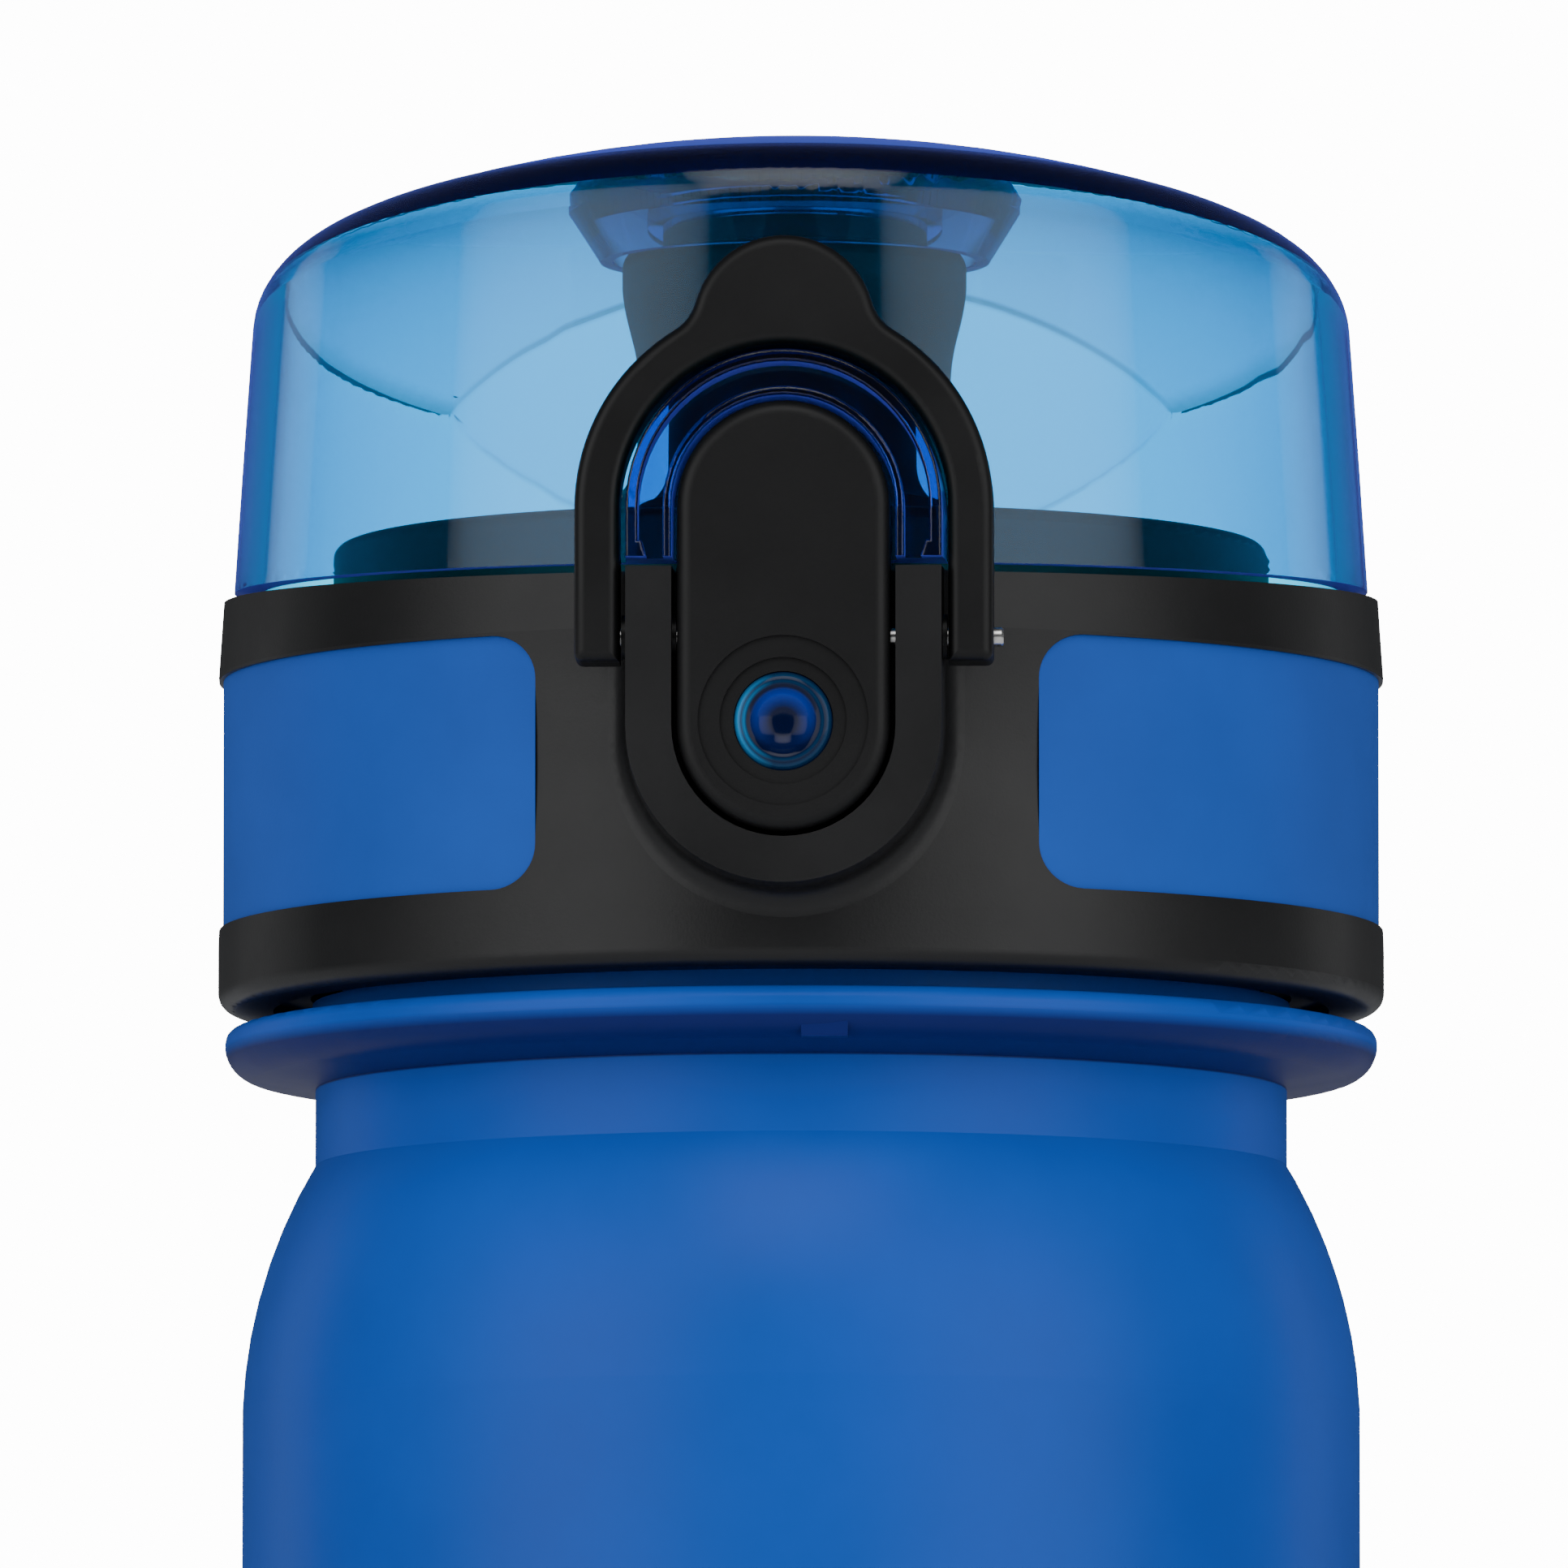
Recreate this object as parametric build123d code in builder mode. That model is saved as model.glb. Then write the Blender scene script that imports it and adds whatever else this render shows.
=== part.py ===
import os
from math import atan, cos, radians, sin, sqrt

from build123d import *

os.makedirs("parts", exist_ok=True)

# Flip-top drinking bottle. Millimetres, +Z up, the front with the latch is -Y,
# the origin is the middle of the foot.

# Bottle
body_radius = 35.5
body_wall = 1.8
foot_radius = 31.0
foot_hollow = 2.6
shoulder_start = 142.0
shoulder_end = 157.5
shoulder_neck_radius = 30.9
flange_radius = 36.65
flange_top = 166.2
lug_width = 2.9
lug_side = 2.4
lug_reach = 34.6
lug_bottom = 163.0
flange_bottom = 162.4
neck_radius = 29.2
neck_bore = 26.8
neck_top = 186.8
thread_lead = 6.0
thread_height = 8.4
thread_depth = 1.35

# Cap: collar, inner cap and inserts
collar_bottom = 167.4
collar_radius = 37.1
collar_waist = 36.85
collar_inner = 33.6
insert_low = 172.5
insert_high = 188.4
insert_side = 15.7
insert_corner = 2.8
insert_floor = 35.2
parting_slope = atan(0.042)
parting_height = 193.53
parting_gap = 0.6
gasket_thickness = 1.8
plate_thickness = 2.0
skirt_inner = 31.2
deck_radius = 29.8
deck_top = 196.9
deck_wall = 1.8

# Spout, its stopper and its holder
spout_y = -15.0
spout_top = 214.5
spout_radius = 10.8
spout_bore = 6.0
nipple_radius = 7.6
nipple_top = 208.0
stopper_radius = 8.4
holder_radius = 14.1

# Lid
lid_wall = 1.8
lid_bottom_radius = 36.4
lid_top_radius = 34.75
lid_taper_height = 23.0
dome_radius = 87.0
dome_y = -12.5
dome_z = 134.5
dome_rounding = 4.0
facet_rounding = 0.7
facet_y = 21.4
facet_z = 209.5
facet_slope = 37.8

# Rear hinge
hinge_y = 39.8
hinge_z = 195.6
hinge_radius = 2.8
hinge_pin_radius = 1.25
hinge_clearance = 0.05
hinge_half = 12.0
collar_lug_inner = 8.0
lid_knuckle_outer = 7.7
lid_knuckle_inner = 3.7

# Latch on the front
arch_z = 195.5
cup_z = 181.9
bezel_radius = 9.8
bezel_front = 42.0
bezel_taper = 1.5
bezel_fillet = 1.7
button_radius = 6.6
button_gap = 0.35
button_front = 42.6
button_back = 37.6
pocket_floor = 35.2
channel_outer = 9.05
channel_inner = 7.5
channel_depth = 3.0
channel_foot = 193.4
jewel_z = 182.1
jewel_radius = 3.05
ring_outer = 13.0
ring_inner = 10.2
ring_front = 41.6
ring_back = 37.8
ring_leg_bottom = 185.9
tab_radius = 5.7
tab_z = 206.8
tab_blend = 3.0
leg_corner = 0.5
boss_radius = 1.4
arch_edge = 0.2
pivot_y = -38.9
pivot_z = 187.6
pivot_radius = 0.6
pivot_clearance = 0.05

front = Plane(origin=(0, 0, 0), x_dir=(1, 0, 0), z_dir=(0, -1, 0))
side = Plane(origin=(0, 0, 0), x_dir=(0, 1, 0), z_dir=(1, 0, 0))
section = Plane.XZ
big = 120.0


def save(shape, node):
    shape.label = node
    export_step(shape, "parts/" + node + ".step")


def parting_plane(drop):
    """Tilted plane between lid and collar, low at the front."""
    return Plane(origin=(0, -15.0, parting_height - drop), x_dir=(1, 0, 0),
                 z_dir=(0, -sin(parting_slope), cos(parting_slope)))


def above_parting(drop):
    with BuildPart(parting_plane(drop)) as block:
        Box(2 * big, 2 * big, big, align=(Align.CENTER, Align.CENTER, Align.MIN))
    return block.part


def stadium(radius):
    """Latch outline: two half circles joined by straight sides, in the front plane."""
    with BuildSketch(front) as outline:
        with Locations((0, arch_z), (0, cup_z)):
            Circle(radius)
        with Locations((0, (arch_z + cup_z) / 2)):
            Rectangle(2 * radius, arch_z - cup_z)
    return outline.sketch


def stadium_prism(radius, near, far, taper=0.0):
    """Latch outline extruded from its front face at -near back to -far."""
    face = stadium(radius).moved(Location((0, -near, 0)))
    with BuildPart() as prism:
        extrude(face, amount=-(near - far), taper=-taper)
    return prism.part


def helix_thread(root, depth, base_height, low, lead, height, outward):
    """One turn and more of trapezoid thread, standing on a cylinder of radius root."""
    sign = 1 if outward else -1
    embed = 0.25
    with BuildPart() as thread:
        with BuildLine() as path:
            Helix(lead, height, root, center=(0, 0, low))
        with BuildSketch(Plane(origin=path.line @ 0, x_dir=(sign, 0, 0),
                               z_dir=path.line % 0)):
            half_base = base_height / 2
            half_tip = base_height / 4
            with BuildLine():
                Polyline((-embed, -half_base), (depth, -half_tip), (depth, half_tip),
                         (-embed, half_base), close=True)
            make_face()
        sweep(is_frenet=True)
    return thread.part


def insert_blank(outer):
    """Both wrap-round grip inserts, as rings trimmed to rounded windows."""
    height = insert_high - insert_low
    width = big - insert_side
    with BuildPart() as windows:
        with BuildSketch(front.offset(-big / 2)):
            with Locations((insert_side + width / 2, insert_low + height / 2),
                           (-insert_side - width / 2, insert_low + height / 2)):
                RectangleRounded(width, height, insert_corner)
        extrude(amount=big)
        with BuildSketch(Plane.XY.offset(insert_low - 1)):
            Circle(outer)
            Circle(insert_floor, mode=Mode.SUBTRACT)
        extrude(amount=height + 2, mode=Mode.INTERSECT)
    return windows.part


def hinge_lugs(inner, outer, foot_drop, foot_inset, bore):
    """Two hinge barrels mirrored about the middle, each on an arm to the wall."""
    with BuildPart() as lugs:
        with BuildSketch(side.offset(inner)):
            with Locations((hinge_y, hinge_z)):
                Circle(hinge_radius)
            with BuildLine():
                Polyline((hinge_y + hinge_radius, hinge_z), (hinge_y - 2.9, hinge_z - 1.3),
                         (hinge_y + foot_inset, hinge_z - 1.3),
                         (hinge_y + foot_inset, hinge_z + foot_drop), close=True)
            make_face()
            with Locations((hinge_y, hinge_z)):
                Circle(bore, mode=Mode.SUBTRACT)
        extrude(amount=outer - inner)
        mirror(about=Plane.YZ)
    return lugs.part


def pivot_rod(radius, start, end):
    with BuildPart() as rod:
        with BuildSketch(side.offset(start)):
            with Locations((pivot_y, pivot_z)):
                Circle(radius)
        extrude(amount=end - start)
    return rod.part


def dome_blank(radius, low):
    """Everything under the dome, down to low."""
    reach = 60.0
    middle = 30.0
    with BuildPart() as dome:
        with BuildSketch(Plane(origin=(0, dome_y, 0), x_dir=(1, 0, 0), z_dir=(0, -1, 0))):
            with BuildLine():
                ThreePointArc((0, dome_z + radius), (middle, dome_z + sqrt(radius**2 - middle**2)),
                              (reach, dome_z + sqrt(radius**2 - reach**2)))
                Polyline((reach, dome_z + sqrt(radius**2 - reach**2)), (reach, low - 5),
                         (0, low - 5), (0, dome_z + radius))
            make_face()
        revolve(axis=Axis((0, dome_y, 0), (0, 0, 1)))
    return dome.part


def lid_blank(inset):
    """Outside of the lid, or its inside when inset: cone, dome and rear facet."""
    taper = (lid_bottom_radius - lid_top_radius) / lid_taper_height
    low = parting_height - 4
    high = low + 40
    with BuildPart() as blank:
        with BuildSketch(section):
            with BuildLine():
                Spline((lid_bottom_radius - inset, low),
                       (lid_bottom_radius - inset - taper * 20 + 0.12, low + 20),
                       (lid_bottom_radius - inset - taper * 40, high))
                Polyline((lid_bottom_radius - inset - taper * 40, high), (0, high), (0, low),
                         (lid_bottom_radius - inset, low))
            make_face()
        revolve(axis=Axis.Z)
        add(dome_blank(dome_radius - inset, low), mode=Mode.INTERSECT)
        if inset == 0:
            fillet(blank.faces().sort_by(Axis.Z)[-1].edges(), dome_rounding)
        facet = Plane(origin=(0, facet_y, facet_z),
                      x_dir=(1, 0, 0), z_dir=(0, sin(radians(facet_slope)), cos(radians(facet_slope))))
        with BuildSketch(facet.offset(lid_wall - inset)):
            Rectangle(2 * big, 2 * big)
        extrude(amount=big, mode=Mode.SUBTRACT)
        flat = blank.faces().filter_by(GeomType.PLANE).sort_by(Axis.Z)[-1]
        fillet(flat.edges(), facet_rounding)
    return blank.part


# Bottle: one blow-moulded wall with a carrying flange and a threaded neck
with BuildPart() as bottle_body:
    with BuildSketch(section):
        with BuildLine():
            Line((0, foot_hollow), (foot_radius - 9, foot_hollow))
            Line((foot_radius - 9, foot_hollow), (foot_radius - 5, 0))
            Line((foot_radius - 5, 0), (foot_radius, 0))
            ThreePointArc((foot_radius, 0), (foot_radius + 3.0, 1.3), (foot_radius + 4.0, 4.6))
            Line((foot_radius + 4.0, 4.6), (body_radius, 40))
            Line((body_radius, 40), (body_radius, shoulder_start))
            ThreePointArc((body_radius, shoulder_start), (34.2, 150.0),
                          (shoulder_neck_radius, shoulder_end))
            Line((shoulder_neck_radius, shoulder_end), (shoulder_neck_radius, flange_bottom))
            Line((shoulder_neck_radius, flange_bottom), (flange_radius - 1.8, flange_bottom + 0.6))
            ThreePointArc((flange_radius - 1.8, flange_bottom + 0.6),
                          (flange_radius - 0.5, flange_bottom + 1.35),
                          (flange_radius, flange_bottom + 2.5))
            Line((flange_radius, flange_bottom + 2.5), (flange_radius, flange_top - 0.9))
            ThreePointArc((flange_radius, flange_top - 0.9),
                          (flange_radius - 0.26, flange_top - 0.26),
                          (flange_radius - 0.9, flange_top))
            Polyline((flange_radius - 0.9, flange_top), (skirt_inner - 0.1, flange_top),
                     (skirt_inner - 0.1, flange_top + 1.6), (neck_radius, flange_top + 1.6),
                     (neck_radius, neck_top), (neck_bore, neck_top), (neck_bore, flange_bottom))
            Line((neck_bore, flange_bottom), (shoulder_neck_radius - body_wall, shoulder_end - 0.8))
            ThreePointArc((shoulder_neck_radius - body_wall, shoulder_end - 0.8),
                          (34.2 - body_wall, 149.4), (body_radius - body_wall, shoulder_start))
            Line((body_radius - body_wall, shoulder_start), (body_radius - body_wall, 40))
            Line((body_radius - body_wall, 40), (foot_radius + 2.2, 6.4))
            ThreePointArc((foot_radius + 2.2, 6.4), (foot_radius + 1.0, 4.0),
                          (foot_radius - 2.0, 3.0))
            Line((foot_radius - 2.0, 3.0), (foot_radius - 6.0, 4.6))
            Line((foot_radius - 6.0, 4.6), (0, 4.6))
            Line((0, 4.6), (0, foot_hollow))
        make_face()
    revolve(axis=Axis.Z)
    with BuildSketch(Plane.XY.offset(lug_bottom)):
        with Locations((lug_side, -lug_reach)):
            Rectangle(lug_width, 3.0)
    extrude(amount=2.0)
    neck_thread_low = flange_top + 6.2
    add(helix_thread(neck_radius, thread_depth, 1.9, neck_thread_low, thread_lead,
                     thread_height, True))
    fillet(bottle_body.edges().filter_by(GeomType.CIRCLE).group_by(Axis.Z)[-1], 0.5)

# Neck gasket between the rim of the neck and the plate of the inner cap
gasket_top = neck_top + gasket_thickness
with BuildPart() as neck_gasket:
    with BuildSketch(Plane.XY.offset(neck_top)):
        Circle(neck_radius - 0.2)
        Circle(neck_bore + 0.2, mode=Mode.SUBTRACT)
    extrude(amount=gasket_thickness)

# Inner cap: threaded skirt, plate, raised deck and the spout's nipple
plate_top = gasket_top + plate_thickness
skirt_outer = collar_inner - 0.1
with BuildPart() as inner_cap:
    with BuildSketch(section):
        with BuildLine():
            Polyline((skirt_inner, collar_bottom + 0.8), (skirt_outer, collar_bottom + 0.8),
                     (skirt_outer, plate_top), (deck_radius, plate_top), (deck_radius, deck_top),
                     (0, deck_top), (0, deck_top - deck_wall), (deck_radius - 3.0, deck_top - deck_wall),
                     (deck_radius - 3.0, gasket_top), (skirt_inner, gasket_top), close=True)
        make_face()
    revolve(axis=Axis.Z)
    fillet(inner_cap.edges().filter_by(GeomType.CIRCLE).group_by(Axis.Z)[-1], 0.8)
    add(helix_thread(skirt_inner, thread_depth, 1.9, neck_thread_low - thread_lead / 2,
                     thread_lead, thread_height, False))
    with BuildSketch(Plane.XY.offset(deck_top - deck_wall)):
        with Locations((0, spout_y)):
            Circle(nipple_radius)
    extrude(amount=nipple_top - deck_top + deck_wall)
    with Locations((0, spout_y, nipple_top)):
        Hole(nipple_radius - 1.8)
    with Locations((0, 14.0, deck_top)):
        Hole(1.3)

# Collar: the outer shell of the cap with the lower half of the latch bezel
bezel_inner = button_radius + button_gap
with BuildPart() as cap_collar:
    with BuildSketch(section):
        with BuildLine():
            Line((collar_inner, collar_bottom), (collar_radius - 1.1, collar_bottom))
            ThreePointArc((collar_radius - 1.1, collar_bottom),
                          (collar_radius - 0.32, collar_bottom + 0.32),
                          (collar_radius, collar_bottom + 1.1))
            Line((collar_radius, collar_bottom + 1.1), (collar_radius, insert_low - 1.4))
            Spline((collar_radius, insert_low - 1.4), (collar_waist, insert_low + 2.5),
                   (collar_waist, insert_high - 2.5), (collar_radius, insert_high + 0.2),
                   tangents=((0, 1), (0.1, 1)))
            Line((collar_radius, insert_high + 0.2), (collar_radius - 0.55, parting_height + 3.4))
            Polyline((collar_radius - 0.55, parting_height + 3.4), (deck_radius + 0.2, parting_height + 3.4),
                     (deck_radius + 0.2, plate_top), (collar_inner, plate_top),
                     (collar_inner, collar_bottom))
        make_face()
    revolve(axis=Axis.Z)
    add(stadium_prism(bezel_radius, bezel_front, 30.0, bezel_taper))
    joint_edges = cap_collar.edges().filter_by(
        lambda e: 34.0 < -e.center().Y < 39.0 and e.bounding_box().size.Z > 3
        and abs(e.center().X) < 12 and e.bounding_box().size.Y > 0.2)
    fillet(joint_edges, bezel_fillet)
    with BuildSketch(Plane.XY.offset(collar_bottom - 1)):
        Circle(collar_inner)
    extrude(amount=plate_top - collar_bottom + 1, mode=Mode.SUBTRACT)
    with BuildSketch(Plane.XY.offset(plate_top)):
        Circle(deck_radius + 0.2)
    extrude(amount=20, mode=Mode.SUBTRACT)
    add(above_parting(parting_gap), mode=Mode.SUBTRACT)
    add(stadium_prism(bezel_inner, bezel_front + 2, pocket_floor), mode=Mode.SUBTRACT)
    add(insert_blank(collar_radius + 1.0), mode=Mode.SUBTRACT)
    add(hinge_lugs(collar_lug_inner, hinge_half, -9.0, -5.6, hinge_pin_radius))
    for start, end in ((-ring_inner + 0.08, -9.3), (9.3, ring_inner - 0.08),
                       (-7.2, -button_radius - 0.1)):
        add(pivot_rod(boss_radius, start, end))
    add(pivot_rod(pivot_radius, -2 * ring_outer, 2 * ring_outer), mode=Mode.SUBTRACT)

# Grip inserts, one each side
blank = insert_blank(collar_waist - 0.05)
for node, sign in (("grip_insert_left", -1), ("grip_insert_right", 1)):
    with BuildPart() as grip_insert:
        add(blank)
        with Locations((sign * big / 2, 0, 0)):
            Box(big, 2 * big, 4 * big, mode=Mode.INTERSECT)
    save(grip_insert.part, node)

# Soft spout over the nipple
with BuildPart() as spout:
    with BuildSketch(Plane(origin=(0, spout_y, 0), x_dir=(1, 0, 0), z_dir=(0, -1, 0))):
        with BuildLine():
            Polyline((nipple_radius, deck_top), (12.2, deck_top), (12.2, deck_top + 1.3))
            ThreePointArc((12.2, deck_top + 1.3), (10.6, deck_top + 2.2), (9.8, deck_top + 4.2))
            Spline((9.8, deck_top + 4.2), (10.0, deck_top + 11.0), (spout_radius, spout_top - 2.6),
                   tangents=((0, 1), (0.05, 1)))
            Line((spout_radius, spout_top - 2.6), (spout_radius, spout_top - 1.4))
            ThreePointArc((spout_radius, spout_top - 1.4), (spout_radius - 0.41, spout_top - 0.41),
                          (spout_radius - 1.4, spout_top))
            Line((spout_radius - 1.4, spout_top), (spout_bore + 1.3, spout_top))
            ThreePointArc((spout_bore + 1.3, spout_top), (spout_bore + 0.4, spout_top - 0.5),
                          (spout_bore, spout_top - 2.0))
            Polyline((spout_bore, spout_top - 2.0), (spout_bore, nipple_top),
                     (nipple_radius, nipple_top), (nipple_radius, deck_top))
        make_face()
    revolve(axis=Axis((0, spout_y, 0), (0, 0, 1)))

# Umbrella vent valve in the deck
with BuildPart() as vent_valve:
    with Locations((0, 14.0, deck_top)):
        Cylinder(3.4, 0.9, align=(Align.CENTER, Align.CENTER, Align.MIN))
    fillet(vent_valve.edges().filter_by(GeomType.CIRCLE).group_by(Axis.Z)[-1], 0.6)
    with Locations((0, 14.0, deck_top)):
        Cylinder(1.25, deck_wall + 0.4, align=(Align.CENTER, Align.CENTER, Align.MAX))
    with Locations((0, 14.0, deck_top - deck_wall - 0.4)):
        Cylinder(1.9, 1.0, align=(Align.CENTER, Align.CENTER, Align.MAX))

# Lid: tapered wall, dome, rear facet, latch arch, catch rib and hinge knuckles
catch_z = 198.0
with BuildPart() as flip_lid:
    add(lid_blank(0))
    add(stadium_prism(bezel_radius, bezel_front, 33.0, bezel_taper))
    add(stadium_prism(bezel_inner, bezel_front + 2, 36.7), mode=Mode.SUBTRACT)
    with BuildSketch(front.offset(bezel_front - channel_depth)):
        with Locations((0, arch_z)):
            Circle(channel_outer)
        with Locations((0, (arch_z + channel_foot) / 2)):
            Rectangle(2 * channel_outer, arch_z - channel_foot)
        with Locations((0, arch_z)):
            Circle(channel_inner, mode=Mode.SUBTRACT)
        with Locations((0, arch_z - 10)):
            Rectangle(2 * channel_inner, 20, mode=Mode.SUBTRACT)
    extrude(amount=channel_depth + 1, mode=Mode.SUBTRACT)
    rims = flip_lid.faces().filter_by(GeomType.PLANE).group_by(Axis.Y)[0]
    fillet(rims.edges(), arch_edge)
    with BuildSketch(front.offset(35.0)):
        with Locations((0, catch_z)):
            RectangleRounded(7.0, 1.5, 0.4)
    extrude(amount=2.35)
    for knuckle_start in (lid_knuckle_inner, -lid_knuckle_outer):
        with BuildSketch(side.offset(knuckle_start)):
            with Locations((hinge_y, hinge_z)):
                Circle(hinge_radius)
            with Locations((hinge_y - 2.5, hinge_z + 1.6)):
                Rectangle(5.0, 2.4)
            with Locations((hinge_y, hinge_z)):
                Circle(hinge_pin_radius + hinge_clearance, mode=Mode.SUBTRACT)
        extrude(amount=lid_knuckle_outer - lid_knuckle_inner)
    add(lid_blank(lid_wall), mode=Mode.SUBTRACT)
    add(above_parting(0), mode=Mode.INTERSECT)

# Holder and stopper that close the spout
dome_inside = dome_z + sqrt((dome_radius - lid_wall) ** 2 - (spout_y - dome_y) ** 2)
with BuildPart() as seal_holder:
    with BuildSketch(Plane(origin=(0, spout_y, 0), x_dir=(1, 0, 0), z_dir=(0, -1, 0))):
        with BuildLine():
            Polyline((stopper_radius, dome_inside + 2), (stopper_radius + 1.0, dome_inside + 2),
                     (stopper_radius + 1.0, spout_top + 3.0), (holder_radius, spout_top + 3.0),
                     (holder_radius, spout_top + 2.2), (12.2, spout_top - 0.9),
                     (11.4, spout_top - 0.9), (12.4, spout_top + 1.8),
                     (stopper_radius, spout_top + 1.8), close=True)
        make_face()
    revolve(axis=Axis((0, spout_y, 0), (0, 0, 1)))
    add(lid_blank(lid_wall), mode=Mode.INTERSECT)

stopper_top = spout_top + 3.2
with BuildPart() as spout_stopper:
    with BuildSketch(Plane(origin=(0, spout_y, 0), x_dir=(1, 0, 0), z_dir=(0, -1, 0))):
        with BuildLine():
            Polyline((0, stopper_top), (stopper_radius, stopper_top),
                     (stopper_radius, spout_top), (spout_bore, spout_top))
            ThreePointArc((spout_bore, spout_top), (spout_bore * 0.6, spout_top - 0.8),
                          (1.5, spout_top - 1.1))
            Polyline((1.5, spout_top - 1.1), (0, spout_top - 1.1), (0, stopper_top))
        make_face()
    revolve(axis=Axis((0, spout_y, 0), (0, 0, 1)))

# Rear hinge pin and torsion spring
with BuildPart() as hinge_pin:
    with BuildSketch(side.offset(-hinge_half - 0.4)):
        with Locations((hinge_y, hinge_z)):
            Circle(hinge_pin_radius)
    extrude(amount=2 * hinge_half + 0.8)
    chamfer(hinge_pin.edges().filter_by(GeomType.CIRCLE), 0.25)

spring_wire = 0.42
spring_coil = 2.1
spring_pitch = 1.0
spring_length = 5.0
with BuildPart() as hinge_spring:
    with BuildLine() as coil_path:
        Helix(spring_pitch, spring_length, spring_coil,
              center=(-spring_length / 2, hinge_y, hinge_z), direction=(1, 0, 0))
    with BuildSketch(Plane(origin=coil_path.line @ 0, z_dir=coil_path.line % 0)):
        Circle(spring_wire)
    sweep(is_frenet=True)

# Pivot pin of button and ring
with BuildPart() as latch_pin:
    add(pivot_rod(pivot_radius, -ring_outer + 0.1, ring_outer + 0.6))
    chamfer(latch_pin.edges().filter_by(GeomType.CIRCLE), 0.12)

# Push button with stepped dish, hook and spring seat
button_spring_z = 180.5
hook_z = catch_z + 1.75
with BuildPart() as push_button:
    add(stadium_prism(button_radius, button_front, button_back))
    fillet(push_button.faces().sort_by(Axis.Y)[0].edges(), 0.9)
    for radius, depth in ((5.3, 0.25), (3.95, 0.5), (jewel_radius + 0.05, 1.7)):
        with BuildSketch(front.offset(button_front + 1)):
            with Locations((0, jewel_z)):
                Circle(radius)
        extrude(amount=-(depth + 1), mode=Mode.SUBTRACT)
    with BuildSketch(front.offset(button_back - 0.6)):
        with Locations((0, hook_z)):
            RectangleRounded(6.0, 1.6, 0.4)
    extrude(amount=1.2)
    with BuildSketch(front.offset(button_back - 1)):
        with Locations((0, button_spring_z)):
            Circle(2.7)
    extrude(amount=2.2, mode=Mode.SUBTRACT)
    add(pivot_rod(pivot_radius + pivot_clearance, -10, 10), mode=Mode.SUBTRACT)

jewel_back = button_front - 1.7
with BuildPart() as button_jewel:
    with BuildSketch(Plane(origin=(0, 0, jewel_z), x_dir=(1, 0, 0), z_dir=(0, 0, 1))):
        with BuildLine():
            Polyline((0, -jewel_back), (jewel_radius, -jewel_back), (jewel_radius, -button_front + 0.6))
            ThreePointArc((jewel_radius, -button_front + 0.6), (jewel_radius - 0.5, -button_front + 0.15),
                          (jewel_radius - 1.1, -button_front + 0.35))
            ThreePointArc((jewel_radius - 1.1, -button_front + 0.35), (1.2, -button_front + 1.0),
                          (0.4, -button_front + 1.2))
            Polyline((0.4, -button_front + 1.2), (0, -button_front + 1.2), (0, -jewel_back))
        make_face()
    revolve(axis=Axis((0, 0, jewel_z), (0, 1, 0)))

with BuildPart() as button_spring:
    with BuildLine() as push_path:
        Helix(0.85, 1.9, 1.7, center=(0, -pocket_floor - 0.32, button_spring_z),
              direction=(0, -1, 0))
    with BuildSketch(Plane(origin=push_path.line @ 0, z_dir=push_path.line % 0)):
        Circle(0.3)
    sweep(is_frenet=True)

# Lock ring with its thumb tab
with BuildPart() as lock_ring:
    with BuildSketch(front.offset(ring_back)) as ring_outline:
        with Locations((0, arch_z)):
            Circle(ring_outer)
        with Locations((0, (arch_z + ring_leg_bottom) / 2)):
            Rectangle(2 * ring_outer, arch_z - ring_leg_bottom)
        with Locations((0, tab_z)):
            Circle(tab_radius)
        fillet(ring_outline.vertices().group_by(Axis.Y)[-1], tab_blend)
        fillet(ring_outline.vertices().group_by(Axis.Y)[0], leg_corner)
        with Locations((0, arch_z)):
            Circle(ring_inner, mode=Mode.SUBTRACT)
        with Locations((0, arch_z - 15)):
            Rectangle(2 * ring_inner, 30, mode=Mode.SUBTRACT)
    extrude(amount=ring_front - ring_back)
    fillet(lock_ring.faces().sort_by(Axis.Y)[0].edges(), 0.7)
    add(pivot_rod(pivot_radius + pivot_clearance, -2 * ring_outer, 2 * ring_outer),
        mode=Mode.SUBTRACT)

nodes = {
    "bottle_body": bottle_body, "neck_gasket": neck_gasket, "inner_cap": inner_cap,
    "cap_collar": cap_collar, "spout": spout, "vent_valve": vent_valve, "flip_lid": flip_lid,
    "seal_holder": seal_holder, "spout_stopper": spout_stopper, "hinge_pin": hinge_pin,
    "hinge_spring": hinge_spring, "latch_pin": latch_pin, "push_button": push_button,
    "button_jewel": button_jewel, "button_spring": button_spring, "lock_ring": lock_ring,
}
for node, built in nodes.items():
    save(built.part, node)
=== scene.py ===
import math

import bmesh
import bpy
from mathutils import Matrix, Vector

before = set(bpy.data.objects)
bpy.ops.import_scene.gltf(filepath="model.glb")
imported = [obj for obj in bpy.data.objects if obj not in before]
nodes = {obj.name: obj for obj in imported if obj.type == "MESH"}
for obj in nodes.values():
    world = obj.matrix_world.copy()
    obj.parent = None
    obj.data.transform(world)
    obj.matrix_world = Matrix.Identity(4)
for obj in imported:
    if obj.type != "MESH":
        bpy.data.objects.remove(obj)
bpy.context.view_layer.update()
mm = 0.001
print("loaded the bottle's nodes")

noiseLow, noiseHigh = 0.3, 0.7  # nearly all of a noise texture's values lie between these
mixFirst, mixSecond, mixResult = 6, 7, 2  # the colour sockets of a Mix node, by place


def newMaterial(name):
    material = bpy.data.materials.new(name)
    material.use_nodes = True
    tree = material.node_tree
    tree.nodes.clear()
    return material, tree


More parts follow.
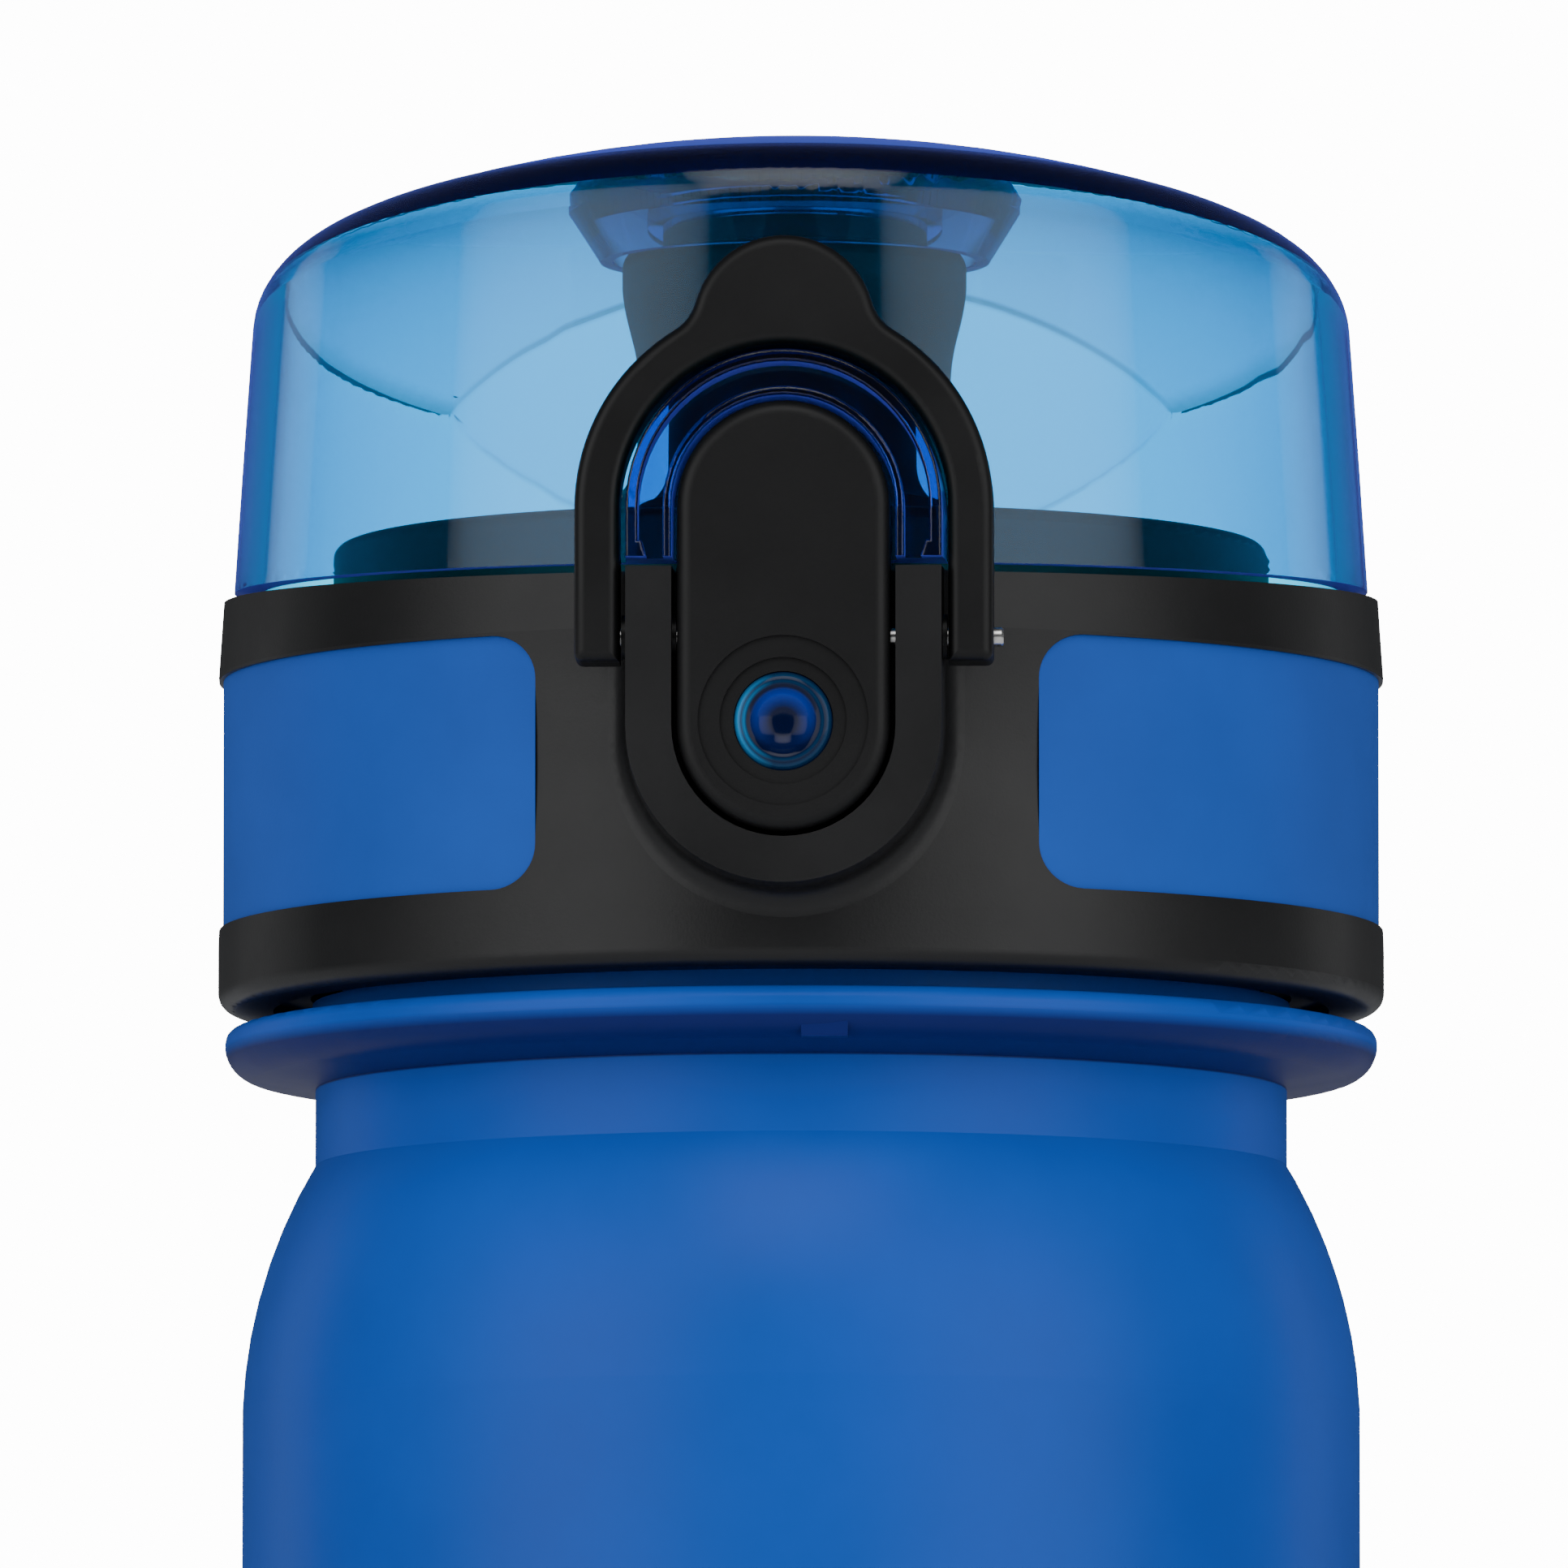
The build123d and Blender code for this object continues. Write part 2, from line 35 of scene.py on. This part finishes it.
def addNode(tree, kind, **inputs):
    made = tree.nodes.new(kind)
    for key, value in inputs.items():
        made.inputs[key.replace("_", " ")].default_value = value
    return made


def link(tree, source, output, target, slot):
    tree.links.new(source.outputs[output], target.inputs[slot])


def product(tree, first, firstOut, second, secondOut):
    times = tree.nodes.new("ShaderNodeMath")
    times.operation = "MULTIPLY"
    link(tree, first, firstOut, times, 0)
    link(tree, second, secondOut, times, 1)
    return times


def noiseOn(tree, source, output, scale, detail, falloff):
    noise = addNode(tree, "ShaderNodeTexNoise", Scale=scale, Detail=detail, Roughness=falloff)
    link(tree, source, output, noise, "Vector")
    return noise


def spreadOf(tree, noise, low, high):
    spread = addNode(tree, "ShaderNodeMapRange", From_Min=noiseLow, From_Max=noiseHigh,
                     To_Min=low, To_Max=high)
    link(tree, noise, "Fac", spread, "Value")
    return spread


def rangeOf(tree, source, output, fromLow, fromHigh, toLow, toHigh):
    mapped = addNode(tree, "ShaderNodeMapRange", From_Min=fromLow, From_Max=fromHigh,
                     To_Min=toLow, To_Max=toHigh)
    link(tree, source, output, mapped, "Value")
    return mapped


def bumpOf(tree, noise, strength, depth):
    bump = addNode(tree, "ShaderNodeBump", Strength=strength, Distance=depth)
    link(tree, noise, "Fac", bump, "Height")
    return bump


def mixToward(tree, factor, color):
    # the first colour is set or linked by the caller
    mix = addNode(tree, "ShaderNodeMix")
    mix.data_type = "RGBA"
    mix.inputs[mixSecond].default_value = (*color, 1)
    link(tree, factor, "Value", mix, 0)
    return mix


def finishSurface(tree, surface, shine, bump):
    link(tree, shine, "Result", surface, "Roughness")
    link(tree, bump, "Normal", surface, "Normal")
    out = tree.nodes.new("ShaderNodeOutputMaterial")
    link(tree, surface, "BSDF", out, "Surface")
    return out


# grain and clouds that all the satin plastics share
satinFinish = {
    "grainDetail": 4.0, "grainFalloff": 0.6, "grainDepth": 0.04 * mm,
    "cloudDetail": 5.0, "cloudFalloff": 0.55,
    "darkShare": 0.88, "darkAt": 0.3, "lightShare": 1.1, "lightAt": 0.72,
}


def mouldedPlastic(name, look):
    # satin plastic: fine spark grain in the bump, soft clouds in colour and roughness
    material, tree = newMaterial(name)
    place = tree.nodes.new("ShaderNodeTexCoord")
    grain = noiseOn(tree, place, "Object", look["grainScale"],
                    satinFinish["grainDetail"], satinFinish["grainFalloff"])
    clouds = noiseOn(tree, place, "Object", look["cloudScale"],
                     satinFinish["cloudDetail"], satinFinish["cloudFalloff"])
    shine = spreadOf(tree, clouds, look["roughness"] - look["cloudSpread"],
                     look["roughness"] + look["cloudSpread"])
    ramp = tree.nodes.new("ShaderNodeValToRGB")
    for element, side in zip(ramp.color_ramp.elements, ("dark", "light")):
        element.position = satinFinish[side + "At"]
        element.color = (*[c * satinFinish[side + "Share"] for c in look["color"]], 1)
    link(tree, clouds, "Fac", ramp, "Fac")
    bump = bumpOf(tree, grain, look["grainBump"], satinFinish["grainDepth"])
    surface = tree.nodes.new("ShaderNodeBsdfPrincipled")
    surface.inputs["Specular IOR Level"].default_value = look["specular"]
    surface.inputs["Transmission Weight"].default_value = look.get("transmission", 0.0)
    if "shadeHeights" in look:
        # painted shade: a darker blue is painted on the flange's lower half, which faces down,
        # between the given heights
        height = tree.nodes.new("ShaderNodeSeparateXYZ")
        link(tree, place, "Object", height, "Vector")
        bottom, middle, top = [h * mm for h in look["shadeHeights"]]
        above = rangeOf(tree, height, "Z", bottom - look["shadeEdge"], bottom, 0.0, 1.0)
        below = rangeOf(tree, height, "Z", middle, top, 1.0, 0.0)
        flangeShade = product(tree, above, "Result", below, "Result")
        mix = mixToward(tree, flangeShade, look["shadeColor"])
        link(tree, ramp, "Color", mix, mixFirst)
        link(tree, mix, mixResult, surface, "Base Color")
    else:
        link(tree, ramp, "Color", surface, "Base Color")
    finishSurface(tree, surface, shine, bump)
    return material


# black cap parts: collar and inner cap
blackPlastic = {
    "color": (0.0045, 0.0045, 0.0051), "roughness": 0.42, "specular": 0.42,
    "grainScale": 5200.0, "grainBump": 0.2, "cloudScale": 60.0, "cloudSpread": 0.07,
}
capBlack = mouldedPlastic("capBlack", blackPlastic)

# lock ring and push button
ringPlastic = {
    "color": (0.0036, 0.0036, 0.004), "roughness": 0.46, "specular": 0.3,
    "grainScale": 6200.0, "grainBump": 0.16, "cloudScale": 80.0, "cloudSpread": 0.06,
}
ringBlack = mouldedPlastic("ringBlack", ringPlastic)

# matt blue inserts in the collar's windows
insertPlastic = {
    "color": (0.017, 0.097, 0.48), "roughness": 0.55, "specular": 0.1,
    "grainScale": 3800.0, "grainBump": 0.2, "cloudScale": 45.0, "cloudSpread": 0.06,
}
insertBlue = mouldedPlastic("insertBlue", insertPlastic)

# bottle; the shade heights are the bottom, middle and top of the painted shade, a darker blue on
# the flange's downward-facing lower half, in mm
bottlePlastic = {
    "color": (0.006, 0.102, 0.59), "roughness": 0.4, "specular": 0.12, "transmission": 0.2,
    "grainScale": 2600.0, "grainBump": 0.16, "cloudScale": 35.0, "cloudSpread": 0.06,
    "shadeHeights": (162.35, 164.3, 165.1), "shadeEdge": 0.1 * mm,
    "shadeColor": (0.004, 0.015, 0.16),
}
bottleBlue = mouldedPlastic("bottleBlue", bottlePlastic)

# spout, vent valve and stopper
siliconeBlack = {
    "color": (0.007, 0.007, 0.008), "roughness": 0.55, "specular": 0.3,
    "grainScale": 4200.0, "grainBump": 0.2, "cloudScale": 70.0, "cloudSpread": 0.08,
}
spoutBlack = mouldedPlastic("spoutBlack", siliconeBlack)

# neck gasket
gasketSilicone = {
    "color": (0.75, 0.76, 0.74), "roughness": 0.55, "specular": 0.35,
    "grainScale": 4200.0, "grainBump": 0.16, "cloudScale": 70.0, "cloudSpread": 0.06,
}
gasketWhite = mouldedPlastic("gasketWhite", gasketSilicone)
print("satin plastics ready")

rippleDetail, rippleFalloff = 2.0, 0.4  # the faint ripples in clear mouldings

# flip lid and seal holder; absorb is the share of red, green and blue taken out
lidPlastic = {
    "absorb": (1.0, 0.165, 0.06), "density": 1900.0, "ior": 1.46,
    "tint": (0.55, 0.96, 1.0), "specular": 0.16,
    "sheen": 1.0, "sheenRoughness": 0.3, "sheenTint": (0.1, 0.14, 1.0),
    "haze": (0.01, 0.03), "rippleScale": 70.0, "rippleBump": 0.06, "rippleDepth": 0.1 * mm,
}


def clearPlastic(name, look):
    # tinted clear plastic that darkens with the length of the light's way through it
    material, tree = newMaterial(name)
    place = tree.nodes.new("ShaderNodeTexCoord")
    ripple = noiseOn(tree, place, "Object", look["rippleScale"], rippleDetail, rippleFalloff)
    haze = spreadOf(tree, ripple, *look["haze"])
    bump = bumpOf(tree, ripple, look["rippleBump"], look["rippleDepth"])
    surface = tree.nodes.new("ShaderNodeBsdfPrincipled")
    surface.inputs["Base Color"].default_value = (*look["tint"], 1)
    surface.inputs["Transmission Weight"].default_value = 1.0
    surface.inputs["IOR"].default_value = look["ior"]
    surface.inputs["Specular IOR Level"].default_value = look["specular"]
    surface.inputs["Sheen Weight"].default_value = look["sheen"]
    surface.inputs["Sheen Roughness"].default_value = look["sheenRoughness"]
    surface.inputs["Sheen Tint"].default_value = (*look["sheenTint"], 1)
    absorb = tree.nodes.new("ShaderNodeVolumeAbsorption")
    absorb.inputs["Color"].default_value = (*[1 - a for a in look["absorb"]], 1)
    absorb.inputs["Density"].default_value = look["density"]
    out = finishSurface(tree, surface, haze, bump)
    link(tree, absorb, "Volume", out, "Volume")
    return material


lidAzure = clearPlastic("lidAzure", lidPlastic)

# jewel in the button, its glassy look painted: the stops are pairs of distance from its centre and
# strength of a painted highlight ring, and each painted highlight fades along an axis, given by
# where it starts and ends and its strength at both; glow is emission of the painted colour
jewelPlastic = {
    "centreZ": 182.1, "radius": 3.05, "glow": 0.5,
    "outerHighlightStops": [(0.0, 0.0), (0.74, 0.0), (0.8, 0.7), (0.86, 0.12), (0.92, 0.9), (1.0, 0.15)],
    "innerHighlightStops": [(0.0, 0.0), (0.28, 0.02), (0.55, 1.0), (0.63, 0.75), (0.69, 0.0), (1.0, 0.0)],
    "outerHighlightColor": (0.015, 0.2, 0.45), "innerHighlightColor": (0.002, 0.026, 0.26),
    "dark": (0.001, 0.003, 0.02),
    "paintedLeftHighlight": (-0.95, -0.2, 1.0, 0.12), "paintedTopHighlight": (-0.5, 0.55, 0.05, 1.0),
    "haze": (0.08, 0.2), "rippleScale": 900.0, "rippleBump": 0.05, "rippleDepth": 0.05 * mm,
    "coat": 0.15, "coatRoughness": 0.08, "specular": 0.15,
}


def rampOf(tree, source, stops):
    ramp = tree.nodes.new("ShaderNodeValToRGB")
    while len(ramp.color_ramp.elements) < len(stops):
        ramp.color_ramp.elements.new(0.5)
    for element, (at, level) in zip(ramp.color_ramp.elements, stops):
        element.position = at
        element.color = (level, level, level, 1)
    link(tree, source, "Result", ramp, "Fac")
    return ramp


def jewelPaintedGlass(name, look):
    # painted glass look: a painted highlight on an outer ring fading from the left, a painted
    # highlight on an inner ring fading from the top, over a dark centre, under a clear coat
    material, tree = newMaterial(name)
    place = tree.nodes.new("ShaderNodeTexCoord")
    centre = tree.nodes.new("ShaderNodeMapping")
    perRadius = 1 / (look["radius"] * mm)
    centre.inputs["Location"].default_value = (0, 0, -look["centreZ"] / look["radius"])
    centre.inputs["Scale"].default_value = (perRadius, 0, perRadius)
    link(tree, place, "Object", centre, "Vector")
    length = tree.nodes.new("ShaderNodeVectorMath")
    length.operation = "LENGTH"
    link(tree, centre, "Vector", length, 0)
    reach = rangeOf(tree, length, "Value", 0.0, 1.0, 0.0, 1.0)
    axes = tree.nodes.new("ShaderNodeSeparateXYZ")
    link(tree, centre, "Vector", axes, "Vector")
    # painted highlights: the outer ring is made brighter on the left and the inner ring brighter
    # at the top, as if lit from there
    leftHighlightFade = rangeOf(tree, axes, "X", *look["paintedLeftHighlight"])
    topHighlightFade = rangeOf(tree, axes, "Z", *look["paintedTopHighlight"])
    outerRingHighlight = rampOf(tree, reach, look["outerHighlightStops"])
    innerRingHighlight = rampOf(tree, reach, look["innerHighlightStops"])
    outer = product(tree, outerRingHighlight, "Color", leftHighlightFade, "Result")
    inner = product(tree, innerRingHighlight, "Color", topHighlightFade, "Result")
    # the dark centre is painted shade, mixed with the inner painted highlight
    depth = mixToward(tree, inner, look["innerHighlightColor"])
    depth.inputs[mixFirst].default_value = (*look["dark"], 1)
    color = mixToward(tree, outer, look["outerHighlightColor"])
    link(tree, depth, mixResult, color, mixFirst)
    ripple = noiseOn(tree, place, "Object", look["rippleScale"], rippleDetail, rippleFalloff)
    haze = spreadOf(tree, ripple, *look["haze"])
    bump = bumpOf(tree, ripple, look["rippleBump"], look["rippleDepth"])
    surface = tree.nodes.new("ShaderNodeBsdfPrincipled")
    surface.inputs["Coat Weight"].default_value = look["coat"]
    surface.inputs["Coat Roughness"].default_value = look["coatRoughness"]
    surface.inputs["Specular IOR Level"].default_value = look["specular"]
    # painted glow: the painted highlight colour also goes to emission, so the jewel shines without
    # a lamp
    surface.inputs["Emission Strength"].default_value = look["glow"]
    link(tree, color, mixResult, surface, "Base Color")
    link(tree, color, mixResult, surface, "Emission Color")
    finishSurface(tree, surface, haze, bump)
    return material


jewelBlue = jewelPaintedGlass("jewelBlue", jewelPlastic)
print("clear plastics ready")

# pins and springs, brushed along X
steelLook = {
    "color": (0.72, 0.71, 0.69), "shine": (0.154, 0.308),
    "brushScale": 900.0, "brushStretch": (0.15, 1.0, 1.0), "brushDetail": 5.0, "brushFalloff": 0.6,
    "brushBump": 0.12, "brushDepth": 0.03 * mm,
}


def brushedSteel(name, look):
    material, tree = newMaterial(name)
    place = tree.nodes.new("ShaderNodeTexCoord")
    stretch = tree.nodes.new("ShaderNodeMapping")
    stretch.inputs["Scale"].default_value = look["brushStretch"]
    link(tree, place, "Object", stretch, "Vector")
    brush = noiseOn(tree, stretch, "Vector", look["brushScale"], look["brushDetail"],
                    look["brushFalloff"])
    shine = spreadOf(tree, brush, *look["shine"])
    bump = bumpOf(tree, brush, look["brushBump"], look["brushDepth"])
    surface = tree.nodes.new("ShaderNodeBsdfPrincipled")
    surface.inputs["Base Color"].default_value = (*look["color"], 1)
    surface.inputs["Metallic"].default_value = 1.0
    finishSurface(tree, surface, shine, bump)
    return material


pinSteel = brushedSteel("pinSteel", steelLook)
print("steel ready")

nodeMaterials = {
    "bottle_body": bottleBlue, "neck_gasket": gasketWhite,
    "inner_cap": capBlack, "cap_collar": capBlack,
    "grip_insert_left": insertBlue, "grip_insert_right": insertBlue,
    "spout": spoutBlack, "vent_valve": spoutBlack, "spout_stopper": spoutBlack,
    "flip_lid": lidAzure, "seal_holder": lidAzure,
    "hinge_pin": pinSteel, "hinge_spring": pinSteel,
    "latch_pin": pinSteel, "button_spring": pinSteel,
    "push_button": ringBlack, "lock_ring": ringBlack, "button_jewel": jewelBlue,
}


def paint(piece, material):
    piece.data.materials.clear()
    piece.data.materials.append(material)


for name, material in nodeMaterials.items():
    paint(nodes[name], material)
print("materials on", len(nodeMaterials), "nodes")

# angles in degrees, lengths in metres, lens and sensor in mm
cameraLook = {
    "distance": 1.5, "azimuth": 1.55, "elevation": -5.2, "lens": 540.6, "sensor": 36.0,
    "aimHeight": 0.182, "aimSide": -0.00109, "nearClip": 0.05, "farClip": 20.0,
}


def addCamera(look):
    azimuth = math.radians(look["azimuth"])
    elevation = math.radians(look["elevation"])
    back = Vector((math.sin(azimuth) * math.cos(elevation),
                   -math.cos(azimuth) * math.cos(elevation), math.sin(elevation)))
    right = Vector((math.cos(azimuth), math.sin(azimuth), 0))
    aim = Vector((0, 0, look["aimHeight"])) + right * look["aimSide"]
    data = bpy.data.cameras.new("camera")
    data.lens = look["lens"]
    data.sensor_width = look["sensor"]
    data.clip_start = look["nearClip"]
    data.clip_end = look["farClip"]
    camera = bpy.data.objects.new("camera", data)
    camera.location = aim + back * look["distance"]
    camera.rotation_mode = "QUATERNION"
    camera.rotation_quaternion = (-back).to_track_quat("-Z", "Y")
    bpy.context.scene.collection.objects.link(camera)
    bpy.context.scene.camera = camera


addCamera(cameraLook)
print("camera ready")

# paper is what the camera sees behind the object, through is the lit backdrop seen through the
# lid, room is what reflections see, and fill is the soft light on matt surfaces
worldLook = {
    "paper": (1.0, 1.0, 1.0), "paperStrength": 14.0, "throughStrength": 3.0,
    "room": (0.9, 0.94, 1.0), "roomStrength": 0.07, "fillStrength": 0.32,
    "bouncedShare": 0.32, "ceilingShare": 0.4, "backdropLow": 0.12, "backdropHigh": 0.45,
}


def addBackground(tree, color, strength):
    background = tree.nodes.new("ShaderNodeBackground")
    background.inputs["Color"].default_value = (*color, 1)
    background.inputs["Strength"].default_value = strength
    return background


def mixShaders(tree, factor, factorOut, first, firstOut, second, secondOut):
    mix = tree.nodes.new("ShaderNodeMixShader")
    link(tree, factor, factorOut, mix, "Fac")
    link(tree, first, firstOut, mix, 1)
    link(tree, second, secondOut, mix, 2)
    return mix


def addWorld(look):
    world = bpy.data.worlds.new("studio")
    world.use_nodes = True
    tree = world.node_tree
    tree.nodes.clear()
    ray = tree.nodes.new("ShaderNodeLightPath")
    bounces = tree.nodes.new("ShaderNodeMath")
    bounces.operation = "ADD"
    link(tree, ray, "Diffuse Depth", bounces, 0)
    link(tree, ray, "Glossy Depth", bounces, 1)
    direct = tree.nodes.new("ShaderNodeMath")
    direct.operation = "LESS_THAN"
    direct.inputs[1].default_value = 0.5  # below the first bounce
    link(tree, bounces, "Value", direct, 0)
    share = rangeOf(tree, direct, "Value", 0.0, 1.0, look["bouncedShare"], 1.0)
    through = product(tree, ray, "Is Transmission Ray", share, "Result")
    way = tree.nodes.new("ShaderNodeTexCoord")
    rise = tree.nodes.new("ShaderNodeSeparateXYZ")
    link(tree, way, "Generated", rise, "Vector")
    backdrop = rangeOf(tree, rise, "Z", look["backdropLow"], look["backdropHigh"],
                       1.0, look["ceilingShare"])
    backdrop.interpolation_type = "SMOOTHSTEP"
    lit = product(tree, through, "Value", backdrop, "Result")
    dim = addBackground(tree, look["room"], look["roomStrength"])
    fill = addBackground(tree, look["room"], look["fillStrength"])
    glow = addBackground(tree, look["paper"], look["throughStrength"])
    paper = addBackground(tree, look["paper"], look["paperStrength"])
    room = mixShaders(tree, ray, "Is Diffuse Ray", dim, "Background", fill, "Background")
    inner = mixShaders(tree, lit, "Value", room, "Shader", glow, "Background")
    choose = mixShaders(tree, ray, "Is Camera Ray", inner, "Shader", paper, "Background")
    out = tree.nodes.new("ShaderNodeOutputWorld")
    link(tree, choose, "Shader", out, "Surface")
    bpy.context.scene.world = world


addWorld(worldLook)
print("world ready")

floorLook = {"color": (0.86, 0.86, 0.86), "roughness": 0.7, "halfSide": 3.0}


def addFloor(look):
    mesh = bpy.data.meshes.new("floor")
    shape = bmesh.new()
    bmesh.ops.create_grid(shape, x_segments=2, y_segments=2, size=look["halfSide"])
    shape.to_mesh(mesh)
    shape.free()
    floor = bpy.data.objects.new("floor", mesh)
    bpy.context.scene.collection.objects.link(floor)
    material, tree = newMaterial("floorPaper")
    surface = tree.nodes.new("ShaderNodeBsdfPrincipled")
    surface.inputs["Base Color"].default_value = (*look["color"], 1)
    surface.inputs["Roughness"].default_value = look["roughness"]
    out = tree.nodes.new("ShaderNodeOutputMaterial")
    link(tree, surface, "BSDF", out, "Surface")
    paint(floor, material)


addFloor(floorLook)
print("floor ready")

softboxAim = (0, 0, 0.18)

# sizes in metres, power in watts
softboxes = {
    "keyLeft": {"place": (-1.0, -0.95, 0.45), "width": 1.5, "height": 1.5, "power": 13.5},
    "keyRight": {"place": (1.0, -0.95, 0.45), "width": 1.5, "height": 1.5, "power": 13.5},
    "top": {"place": (0, -0.95, 1.25), "width": 1.0, "height": 1.0, "power": 9.0},
    "rimLeft": {"place": (-0.9, 0.7, 0.3), "width": 0.4, "height": 0.8, "power": 0.6},
    "rimRight": {"place": (0.9, 0.7, 0.3), "width": 0.4, "height": 0.8, "power": 0.6},
}


def addSoftbox(name, look, target):
    # the face is brightest in its middle and fades to nothing at its edges
    data = bpy.data.lights.new(name, "AREA")
    data.shape = "RECTANGLE"
    data.size = look["width"]
    data.size_y = look["height"]
    data.energy = look["power"]
    data.use_nodes = True
    tree = data.node_tree
    tree.nodes.clear()
    face = tree.nodes.new("ShaderNodeNewGeometry")
    sides = tree.nodes.new("ShaderNodeSeparateXYZ")
    link(tree, face, "Parametric", sides, "Vector")
    fades = []
    for side in ("X", "Y"):
        bend = addNode(tree, "ShaderNodeFloatCurve")
        curve = bend.mapping.curves[0]
        curve.points[0].location = (0.0, 0.0)
        curve.points[1].location = (1.0, 0.0)
        curve.points.new(0.5, 1.0)
        bend.mapping.update()
        link(tree, sides, side, bend, "Value")
        fades.append(bend)
    fade = product(tree, fades[0], "Value", fades[1], "Value")
    glow = tree.nodes.new("ShaderNodeEmission")
    link(tree, fade, "Value", glow, "Strength")
    lamp = tree.nodes.new("ShaderNodeOutputLight")
    link(tree, glow, "Emission", lamp, "Surface")
    light = bpy.data.objects.new(name, data)
    light.location = Vector(look["place"])
    aim = (Vector(target) - Vector(look["place"])).normalized()
    light.rotation_mode = "QUATERNION"
    light.rotation_quaternion = aim.to_track_quat("-Z", "Y")
    bpy.context.scene.collection.objects.link(light)


for name, look in softboxes.items():
    addSoftbox(name, look, softboxAim)
print("softboxes ready")
